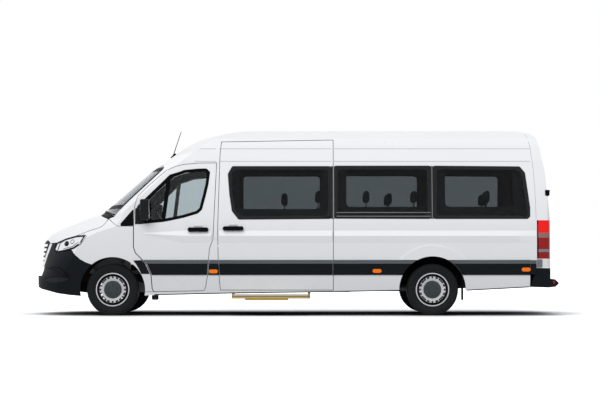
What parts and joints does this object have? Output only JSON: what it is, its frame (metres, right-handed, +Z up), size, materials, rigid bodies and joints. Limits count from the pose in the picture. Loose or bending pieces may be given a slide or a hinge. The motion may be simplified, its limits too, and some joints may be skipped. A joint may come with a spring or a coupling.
{
  "type": "minibus",
  "caption": "High-roof minibus with a sloping nose, dark side glazing, a sliding side door, hinged cab and rear doors, an opening bonnet and steered front wheels.",
  "frame": {"origin": "on the ground below the middle of the whole vehicle, mirrors included", "axes": "+X towards the tail, +Y to the driver's side (the vehicle's right), +Z up"},
  "size_m": [7.14, 2.344, 2.5599],
  "materials": {
    "body_paint": "gloss white paint",
    "bumper_plastic": "grained dark grey plastic",
    "grille_plastic": "black plastic",
    "bright_trim": "silver trim",
    "lamp_orange": "orange lamp cover",
    "lamp_clear": "clear lamp cover over bright reflectors",
    "lamp_red": "red lamp cover",
    "glass_clear": "lightly tinted glass",
    "glass_dark": "dark privacy glass",
    "door_trim": "black plastic",
    "underbody": "satin black underbody paint",
    "cast_metal": "cast metal",
    "exhaust_steel": "dull steel",
    "step_paint": "yellow edge on a dark step",
    "dash_plastic": "dark grained plastic",
    "seat_fabric": "dark woven fabric",
    "tyre_rubber": "black rubber",
    "rim_steel": "silver painted steel"
  },
  "bodies": {
    "vehicle": {"antenna": "grille_plastic", "body_side_left": "body_paint", "body_side_right": "body_paint", "chassis_frame": "underbody", "cladding": "bumper_plastic", "cowl": "grille_plastic", "dashboard": "dash_plastic", "engine": "cast_metal", "exhaust": "exhaust_steel", "floor_pan": "underbody", "front_bumper": "bumper_plastic", "front_seats": "seat_fabric", "front_suspension": "underbody", "front_wings": "body_paint", "fuel_tank": "underbody", "gearbox": "cast_metal", "grille": "grille_plastic", "grille_frame": "bright_trim", "headlamps": "lamp_clear", "rear_axle": "underbody", "rear_bumper": "bumper_plastic", "roof": "body_paint", "saloon_seats": "seat_fabric", "seat_frames": "underbody", "side_glass": "glass_dark", "side_markers": "lamp_orange", "side_step": "step_paint", "sliding_door": "body_paint", "sliding_door_glass": "glass_dark", "sliding_door_handle": "door_trim", "steering_wheel": "dash_plastic", "tail_lamps": "lamp_red", "wheel_liners": "grille_plastic", "windscreen": "glass_clear", "wipers": "grille_plastic"},
    "front_door_left": {"front_door_left": "body_paint", "front_door_glass_left": "glass_clear", "front_door_trim_left": "door_trim"},
    "front_door_right": {"front_door_right": "body_paint", "front_door_glass_right": "glass_clear", "front_door_trim_right": "door_trim"},
    "rear_door_left": {"rear_door_left": "body_paint", "rear_door_glass_left": "glass_dark"},
    "rear_door_right": {"rear_door_right": "body_paint", "rear_door_glass_right": "glass_dark"},
    "bonnet": {"bonnet": "body_paint"},
    "knuckle_left": {"knuckle_left": "underbody"},
    "knuckle_right": {"knuckle_right": "underbody"},
    "wheel_front_left": {"tyre_front_left": "tyre_rubber", "rim_front_left": "rim_steel"},
    "wheel_front_right": {"tyre_front_right": "tyre_rubber", "rim_front_right": "rim_steel"},
    "wheel_rear_left": {"tyre_rear_left": "tyre_rubber", "rim_rear_left": "rim_steel"},
    "wheel_rear_right": {"tyre_rear_right": "tyre_rubber", "rim_rear_right": "rim_steel"}
  },
  "joints": [
    {"name": "front_door_left_hinge", "type": "hinge", "parent": "vehicle", "child": "front_door_left", "pos_m": [-2.133, -1.005, 1.1], "axis": [0, 0, -1], "range_deg": [0, 70]},
    {"name": "front_door_right_hinge", "type": "hinge", "parent": "vehicle", "child": "front_door_right", "pos_m": [-2.133, 1.005, 1.1], "axis": [0, 0, 1], "range_deg": [0, 70]},
    {"name": "rear_door_left_hinge", "type": "hinge", "parent": "vehicle", "child": "rear_door_left", "pos_m": [3.48, -0.88, 1.3], "axis": [0.0872, 0, -0.9962], "range_deg": [0, 180]},
    {"name": "rear_door_right_hinge", "type": "hinge", "parent": "vehicle", "child": "rear_door_right", "pos_m": [3.48, 0.88, 1.3], "axis": [-0.0872, 0, 0.9962], "range_deg": [0, 180]},
    {"name": "bonnet_hinge", "type": "hinge", "parent": "vehicle", "child": "bonnet", "pos_m": [-2.69, 0, 1.385], "axis": [0, 1, 0], "range_deg": [0, 45]},
    {"name": "steer_left", "type": "hinge", "parent": "vehicle", "child": "knuckle_left", "pos_m": [-2.463, -0.785, 0.349], "axis": [0, 0, 1], "range_deg": [-35, 35]},
    {"name": "steer_right", "type": "hinge", "parent": "vehicle", "child": "knuckle_right", "pos_m": [-2.463, 0.785, 0.349], "axis": [0, 0, 1], "range_deg": [-35, 35]},
    {"name": "wheel_front_left_spin", "type": "hinge", "parent": "knuckle_left", "child": "wheel_front_left", "pos_m": [-2.463, -0.855, 0.349], "axis": [0, 1, 0], "continuous": true},
    {"name": "wheel_front_right_spin", "type": "hinge", "parent": "knuckle_right", "child": "wheel_front_right", "pos_m": [-2.463, 0.855, 0.349], "axis": [0, 1, 0], "continuous": true},
    {"name": "wheel_rear_left_spin", "type": "hinge", "parent": "vehicle", "child": "wheel_rear_left", "pos_m": [1.862, -0.855, 0.349], "axis": [0, 1, 0], "continuous": true},
    {"name": "wheel_rear_right_spin", "type": "hinge", "parent": "vehicle", "child": "wheel_rear_right", "pos_m": [1.862, 0.855, 0.349], "axis": [0, 1, 0], "continuous": true}
  ],
  "couplings": [
    {"joint": "steer_right", "follows": "steer_left", "ratio": 1}
  ]
}
